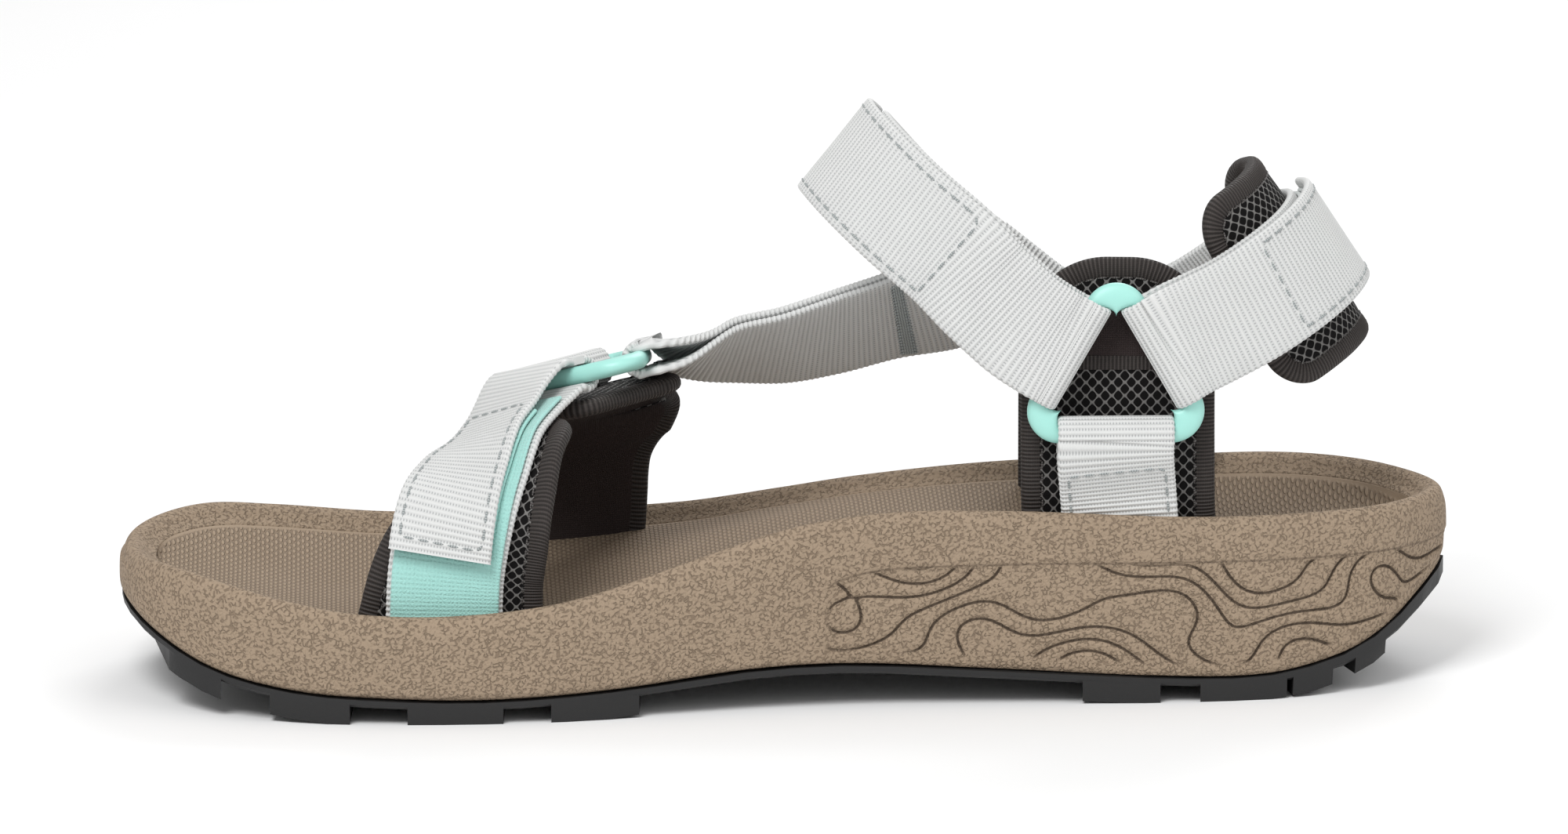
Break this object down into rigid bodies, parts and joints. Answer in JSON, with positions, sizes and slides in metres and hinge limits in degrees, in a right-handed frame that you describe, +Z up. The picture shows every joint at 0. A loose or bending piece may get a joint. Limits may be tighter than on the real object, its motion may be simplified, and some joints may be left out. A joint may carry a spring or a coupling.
{
  "type": "sport sandal",
  "caption": "Strappy sport sandal for a right foot, with a thick contoured sole, padded webbing straps through moulded rings and hook-and-loop tabs that peel open.",
  "frame": {"origin": "on the ground, under the centre of the bounding box", "axes": "+X from toe to heel, +Y from the inner (medial) to the outer (lateral) side, +Z up"},
  "size_m": [0.268, 0.094, 0.1175],
  "materials": {
    "rubber": "matt carbon rubber, moulded",
    "foam": "matt EVA foam with a fine pebbled skin",
    "footbed": "matt EVA foam with a moulded scale pattern",
    "nylon": "moulded nylon, unpainted",
    "ring": "satin moulded acetal",
    "webbing": "flat woven polyester webbing",
    "teal_tape": "napped hook-and-loop tape",
    "grey_tape": "napped hook-and-loop tape",
    "mesh": "open spacer mesh over foam, smooth knit lining",
    "binding": "ribbed grosgrain binding"
  },
  "bodies": {
    "sandal": {"outsole": "rubber", "midsole": "foam", "footbed": "footbed", "shank": "nylon", "forefoot_ring": "ring", "ankle_inner_ring": "ring", "ankle_outer_ring": "ring", "toe_strap": "webbing", "forefoot_outer_anchor": "webbing", "diagonal_strap": "webbing", "ankle_inner_anchor": "webbing", "ankle_outer_anchor": "webbing", "instep_strap": "webbing", "heel_strap": "webbing", "toe_loop_tape": "teal_tape", "instep_loop_tape": "grey_tape", "heel_loop_tape": "grey_tape", "forefoot_inner_pad": "mesh", "forefoot_outer_pad": "mesh", "heel_pad": "mesh", "ankle_inner_pad": "mesh", "ankle_outer_pad": "mesh", "forefoot_inner_binding": "binding", "forefoot_outer_binding": "binding", "heel_binding": "binding", "ankle_inner_binding": "binding", "ankle_outer_binding": "binding"},
    "toe_tab_body": {"toe_tab": "webbing", "toe_hook_tape": "teal_tape"},
    "instep_tab_body": {"instep_tab": "webbing", "instep_hook_tape": "grey_tape"},
    "heel_tab_body": {"heel_tab": "webbing", "heel_hook_tape": "grey_tape"}
  },
  "joints": [
    {"name": "toe_tab_peel", "type": "hinge", "parent": "sandal", "child": "toe_tab_body", "pos_m": [-0.05, -0.00482, 0.06436], "axis": [-0.801, 0.5295, -0.2795], "range_deg": [0, 110]},
    {"name": "instep_tab_peel", "type": "hinge", "parent": "sandal", "child": "instep_tab_body", "pos_m": [0.0528, -0.03458, 0.07336], "axis": [0.4909, 0.0387, 0.8703], "range_deg": [0, 110]},
    {"name": "heel_tab_peel", "type": "hinge", "parent": "sandal", "child": "heel_tab_body", "pos_m": [0.07715, -0.03465, 0.07346], "axis": [0.498, -0.0373, -0.8664], "range_deg": [0, 110]}
  ]
}
